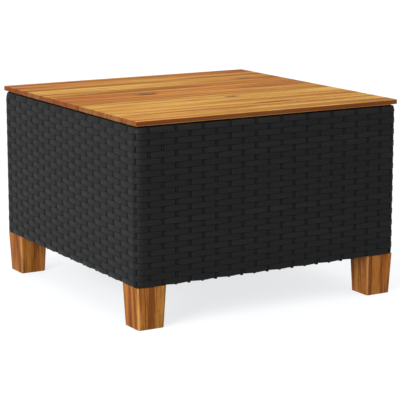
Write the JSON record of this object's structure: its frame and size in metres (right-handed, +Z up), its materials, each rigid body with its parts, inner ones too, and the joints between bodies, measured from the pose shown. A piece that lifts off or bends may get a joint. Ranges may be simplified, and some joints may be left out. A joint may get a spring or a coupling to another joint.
{
  "type": "garden coffee table",
  "caption": "Low square garden coffee table with an acacia slat top, a woven black plastic skin over a steel tube frame, and short tapered wooden legs.",
  "frame": {"origin": "on the floor, under the centre of the table", "axes": "+X along the slats, from left to right; +Y to the back; +Z up"},
  "size_m": [0.552, 0.552, 0.37],
  "materials": {
    "slat_wood": "oiled acacia, satin",
    "batten_wood": "unfinished acacia",
    "leg_wood": "oiled acacia, satin",
    "weave": "ribbed strip, low sheen",
    "frame_steel": "black powder coat",
    "zinc_fasteners": "zinc plated"
  },
  "bodies": {
    "root": {"batten_left": "batten_wood", "batten_middle": "batten_wood", "batten_right": "batten_wood", "batten_screws": "zinc_fasteners", "batten_tab_back_left": "frame_steel", "batten_tab_back_middle": "frame_steel", "batten_tab_back_right": "frame_steel", "batten_tab_front_left": "frame_steel", "batten_tab_front_middle": "frame_steel", "batten_tab_front_right": "frame_steel", "bottom_rail_back": "frame_steel", "bottom_rail_front": "frame_steel", "bottom_rail_left": "frame_steel", "bottom_rail_right": "frame_steel", "corner_post_back_left": "frame_steel", "corner_post_back_right": "frame_steel", "corner_post_front_left": "frame_steel", "corner_post_front_right": "frame_steel", "leg_back_left": "leg_wood", "leg_back_right": "leg_wood", "leg_bolts": "zinc_fasteners", "leg_front_left": "leg_wood", "leg_front_right": "leg_wood", "leg_nuts": "zinc_fasteners", "leg_plate_back_left": "frame_steel", "leg_plate_back_right": "frame_steel", "leg_plate_front_left": "frame_steel", "leg_plate_front_right": "frame_steel", "leg_washers": "zinc_fasteners", "slat_01": "slat_wood", "slat_02": "slat_wood", "slat_03": "slat_wood", "slat_04": "slat_wood", "slat_05": "slat_wood", "slat_06": "slat_wood", "slat_07": "slat_wood", "slat_08": "slat_wood", "slat_09": "slat_wood", "slat_10": "slat_wood", "slat_screws": "zinc_fasteners", "top_rail_back": "frame_steel", "top_rail_front": "frame_steel", "top_rail_left": "frame_steel", "top_rail_right": "frame_steel", "weave_border_bottom": "weave", "weave_border_top": "weave", "weave_corner_back_left": "weave", "weave_corner_back_right": "weave", "weave_corner_front_left": "weave", "weave_corner_front_right": "weave", "weave_panel_back": "weave", "weave_panel_front": "weave", "weave_panel_left": "weave", "weave_panel_right": "weave"}
  },
  "joints": []
}
